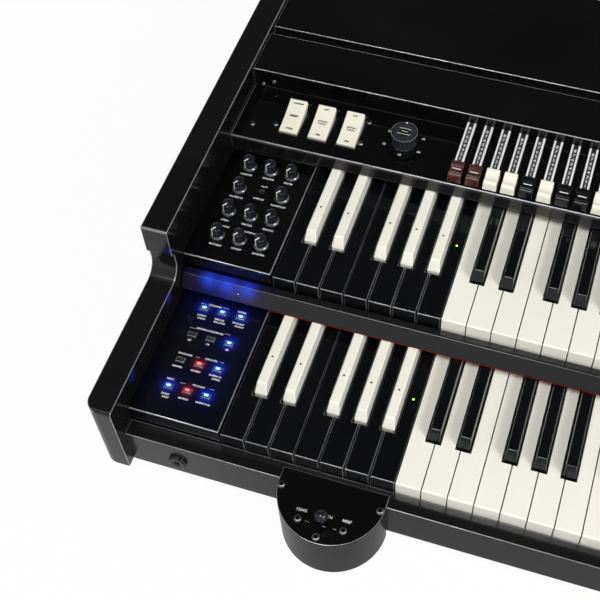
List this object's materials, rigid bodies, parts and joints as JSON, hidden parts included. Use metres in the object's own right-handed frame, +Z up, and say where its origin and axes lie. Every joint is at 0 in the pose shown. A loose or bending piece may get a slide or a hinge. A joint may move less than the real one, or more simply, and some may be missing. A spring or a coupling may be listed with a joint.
{
  "type": "drawbar organ",
  "caption": "Portable organ with two stepped manuals, reversed-colour preset octaves, drawbars, rocker tabs, effect knobs, lit buttons and a half-round speed switch under the front rail.",
  "frame": {"origin": "centre of the overall box at the underside of the runners", "axes": "+X along the keys to the player's right, +Y from the player to the back, +Z up"},
  "size_m": [1.2404, 0.617, 0.184],
  "materials": {
    "case": "satin black lacquer",
    "panel": "polished black",
    "plate": "satin black",
    "key_cream": "warm white",
    "key_black": "gloss black",
    "cream": "cream",
    "brown": "translucent brown",
    "knob": "black",
    "button": "translucent",
    "steel": "zinc plated",
    "rubber": "black",
    "circuit": "green",
    "socket": "black"
  },
  "bodies": {
    "case": {"left_cheek": "case", "right_cheek": "case", "left_runner": "rubber", "right_runner": "rubber", "bottom_board": "case", "back_panel": "case", "front_rail": "case", "top_cover_front": "case", "top_cover_rear": "case", "control_panel": "panel", "upper_key_board": "case", "middle_rail": "case", "lower_left_plate": "plate", "upper_left_plate": "plate", "lower_right_plate": "plate", "upper_right_plate": "plate", "half_moon_case": "plate", "half_moon_plate": "plate", "headphone_socket": "socket", "upper_key_frame": "steel", "lower_key_frame": "steel", "main_board": "circuit", "rear_jack_plate": "plate"},
    "knob_drawbar_volume": {"knob_drawbar_volume": "knob"},
    "knob_reverb": {"knob_reverb": "knob"},
    "knob_drive": {"knob_drive": "knob"},
    "knob_keyclick": {"knob_keyclick": "knob"},
    "knob_leakage": {"knob_leakage": "knob"},
    "knob_bass": {"knob_bass": "knob"},
    "knob_mid": {"knob_mid": "knob"},
    "knob_treble": {"knob_treble": "knob"},
    "knob_sustain": {"knob_sustain": "knob"},
    "knob_decay": {"knob_decay": "knob"},
    "knob_volume": {"knob_volume": "knob"},
    "vibrato_chorus_knob": {"vibrato_chorus_knob": "knob"},
    "half_moon_lever": {"half_moon_lever": "knob"},
    "tab_volume": {"tab_volume": "cream"},
    "tab_vibrato_upper": {"tab_vibrato_upper": "cream"},
    "tab_vibrato_lower": {"tab_vibrato_lower": "cream"},
    "percussion_tabs": {"percussion_tabs": "cream"},
    "button_mat": {"button_mat": "button"},
    "lower_preset_keys": {"lower_preset_keys": "key_black"},
    "lower_natural_keys": {"lower_natural_keys": "key_cream"},
    "lower_sharp_keys": {"lower_sharp_keys": "key_black"},
    "upper_preset_keys": {"upper_preset_keys": "key_black"},
    "upper_natural_keys": {"upper_natural_keys": "key_cream"},
    "upper_sharp_keys": {"upper_sharp_keys": "key_black"},
    "drawbar_1": {"drawbar_1": "brown"},
    "drawbar_2": {"drawbar_2": "brown"},
    "drawbar_3": {"drawbar_3": "cream"},
    "drawbar_4": {"drawbar_4": "cream"},
    "drawbar_5": {"drawbar_5": "key_black"},
    "drawbar_6": {"drawbar_6": "cream"},
    "drawbar_7": {"drawbar_7": "key_black"},
    "drawbar_8": {"drawbar_8": "key_black"},
    "drawbar_9": {"drawbar_9": "cream"},
    "upper_drawbars_second_set": {"upper_drawbars_second_set": "cream"},
    "pedal_drawbars": {"pedal_drawbars": "cream"},
    "lower_drawbars_first_set": {"lower_drawbars_first_set": "cream"},
    "lower_drawbars_second_set": {"lower_drawbars_second_set": "cream"}
  },
  "joints": [
    {"name": "knob_drawbar_volume_turn", "type": "hinge", "parent": "case", "child": "knob_drawbar_volume", "pos_m": [-0.57065, 0.02645, 0.1286], "axis": [0, 0, 1], "range_deg": [-270, 0]},
    {"name": "knob_reverb_turn", "type": "hinge", "parent": "case", "child": "knob_reverb", "pos_m": [-0.54805, 0.02645, 0.1286], "axis": [0, 0, 1], "range_deg": [-270, 0]},
    {"name": "knob_drive_turn", "type": "hinge", "parent": "case", "child": "knob_drive", "pos_m": [-0.52625, 0.02645, 0.1286], "axis": [0, 0, 1], "range_deg": [-270, 0]},
    {"name": "knob_keyclick_turn", "type": "hinge", "parent": "case", "child": "knob_keyclick", "pos_m": [-0.57065, -0.00315, 0.1286], "axis": [0, 0, 1], "range_deg": [-270, 0]},
    {"name": "knob_leakage_turn", "type": "hinge", "parent": "case", "child": "knob_leakage", "pos_m": [-0.52625, -0.00315, 0.1286], "axis": [0, 0, 1], "range_deg": [-270, 0]},
    {"name": "knob_bass_turn", "type": "hinge", "parent": "case", "child": "knob_bass", "pos_m": [-0.57065, -0.03265, 0.1286], "axis": [0, 0, 1], "range_deg": [-270, 0]},
    {"name": "knob_mid_turn", "type": "hinge", "parent": "case", "child": "knob_mid", "pos_m": [-0.54805, -0.03265, 0.1286], "axis": [0, 0, 1], "range_deg": [-270, 0]},
    {"name": "knob_treble_turn", "type": "hinge", "parent": "case", "child": "knob_treble", "pos_m": [-0.52625, -0.03265, 0.1286], "axis": [0, 0, 1], "range_deg": [-270, 0]},
    {"name": "knob_sustain_turn", "type": "hinge", "parent": "case", "child": "knob_sustain", "pos_m": [-0.57065, -0.06295, 0.1286], "axis": [0, 0, 1], "range_deg": [-270, 0]},
    {"name": "knob_decay_turn", "type": "hinge", "parent": "case", "child": "knob_decay", "pos_m": [-0.54805, -0.06295, 0.1286], "axis": [0, 0, 1], "range_deg": [-270, 0]},
    {"name": "knob_volume_turn", "type": "hinge", "parent": "case", "child": "knob_volume", "pos_m": [-0.52625, -0.06295, 0.1286], "axis": [0, 0, 1], "range_deg": [-270, 0]},
    {"name": "vibrato_chorus_turn", "type": "hinge", "parent": "case", "child": "vibrato_chorus_knob", "pos_m": [-0.42495, 0.07715, 0.156], "axis": [0, 0, 1], "range_deg": [-120, 180]},
    {"name": "half_moon_lever_swing", "type": "hinge", "parent": "case", "child": "half_moon_lever", "pos_m": [-0.39295, -0.28855, 0.057], "axis": [0, 1, 0], "range_deg": [-18, 18]},
    {"name": "tab_volume_rock", "type": "hinge", "parent": "case", "child": "tab_volume", "pos_m": [-0.53925, 0.07745, 0.15], "axis": [1, 0, 0], "range_deg": [-21, 0]},
    {"name": "tab_vibrato_upper_rock", "type": "hinge", "parent": "case", "child": "tab_vibrato_upper", "pos_m": [-0.50925, 0.07745, 0.15], "axis": [1, 0, 0], "range_deg": [-21, 0]},
    {"name": "tab_vibrato_lower_rock", "type": "hinge", "parent": "case", "child": "tab_vibrato_lower", "pos_m": [-0.47925, 0.07745, 0.15], "axis": [1, 0, 0], "range_deg": [-21, 0]},
    {"name": "percussion_tabs_rock", "type": "hinge", "parent": "case", "child": "percussion_tabs", "pos_m": [0.44925, 0.07745, 0.15], "axis": [1, 0, 0], "range_deg": [-21, 0]},
    {"name": "button_mat_press", "type": "slide", "parent": "case", "child": "button_mat", "axis": [0, 0, -1], "range_m": [0, 0.001], "stiffness_N_per_m": 400, "springref_m": -0.002},
    {"name": "lower_preset_keys_press", "type": "hinge", "parent": "case", "child": "lower_preset_keys", "pos_m": [0, -0.04055, 0.075], "axis": [1, 0, 0], "range_deg": [0, 2.8], "stiffness_Nm_per_rad": 10, "springref_deg": -6.88},
    {"name": "lower_natural_keys_press", "type": "hinge", "parent": "case", "child": "lower_natural_keys", "pos_m": [0, -0.04055, 0.075], "axis": [1, 0, 0], "range_deg": [0, 2.8], "stiffness_Nm_per_rad": 30, "springref_deg": -8.59},
    {"name": "lower_sharp_keys_press", "type": "hinge", "parent": "case", "child": "lower_sharp_keys", "pos_m": [0, -0.04055, 0.0625], "axis": [1, 0, 0], "range_deg": [0, 2.6], "stiffness_Nm_per_rad": 20, "springref_deg": -6.88},
    {"name": "upper_preset_keys_press", "type": "hinge", "parent": "case", "child": "upper_preset_keys", "pos_m": [0, 0.10805, 0.1186], "axis": [1, 0, 0], "range_deg": [0, 2.8], "stiffness_Nm_per_rad": 10, "springref_deg": -6.88},
    {"name": "upper_natural_keys_press", "type": "hinge", "parent": "case", "child": "upper_natural_keys", "pos_m": [0, 0.10805, 0.1186], "axis": [1, 0, 0], "range_deg": [0, 2.8], "stiffness_Nm_per_rad": 30, "springref_deg": -8.59},
    {"name": "upper_sharp_keys_press", "type": "hinge", "parent": "case", "child": "upper_sharp_keys", "pos_m": [0, 0.10805, 0.1061], "axis": [1, 0, 0], "range_deg": [0, 2.6], "stiffness_Nm_per_rad": 20, "springref_deg": -6.88},
    {"name": "drawbar_1_slide", "type": "slide", "parent": "case", "child": "drawbar_1", "axis": [0, 1, 0], "range_m": [0, 0.05]},
    {"name": "drawbar_2_slide", "type": "slide", "parent": "case", "child": "drawbar_2", "axis": [0, 1, 0], "range_m": [0, 0.05]},
    {"name": "drawbar_3_slide", "type": "slide", "parent": "case", "child": "drawbar_3", "axis": [0, 1, 0], "range_m": [0, 0.05]},
    {"name": "drawbar_4_slide", "type": "slide", "parent": "case", "child": "drawbar_4", "axis": [0, 1, 0], "range_m": [0, 0.05]},
    {"name": "drawbar_5_slide", "type": "slide", "parent": "case", "child": "drawbar_5", "axis": [0, 1, 0], "range_m": [0, 0.05]},
    {"name": "drawbar_6_slide", "type": "slide", "parent": "case", "child": "drawbar_6", "axis": [0, 1, 0], "range_m": [0, 0.05]},
    {"name": "drawbar_7_slide", "type": "slide", "parent": "case", "child": "drawbar_7", "axis": [0, 1, 0], "range_m": [0, 0.05]},
    {"name": "drawbar_8_slide", "type": "slide", "parent": "case", "child": "drawbar_8", "axis": [0, 1, 0], "range_m": [0, 0.05]},
    {"name": "drawbar_9_slide", "type": "slide", "parent": "case", "child": "drawbar_9", "axis": [0, 1, 0], "range_m": [0, 0.05]},
    {"name": "upper_drawbars_second_set_slide", "type": "slide", "parent": "case", "child": "upper_drawbars_second_set", "axis": [0, 1, 0], "range_m": [0, 0.05]},
    {"name": "pedal_drawbars_slide", "type": "slide", "parent": "case", "child": "pedal_drawbars", "axis": [0, 1, 0], "range_m": [0, 0.05]},
    {"name": "lower_drawbars_first_set_slide", "type": "slide", "parent": "case", "child": "lower_drawbars_first_set", "axis": [0, 1, 0], "range_m": [0, 0.05]},
    {"name": "lower_drawbars_second_set_slide", "type": "slide", "parent": "case", "child": "lower_drawbars_second_set", "axis": [0, 1, 0], "range_m": [0, 0.05]}
  ]
}
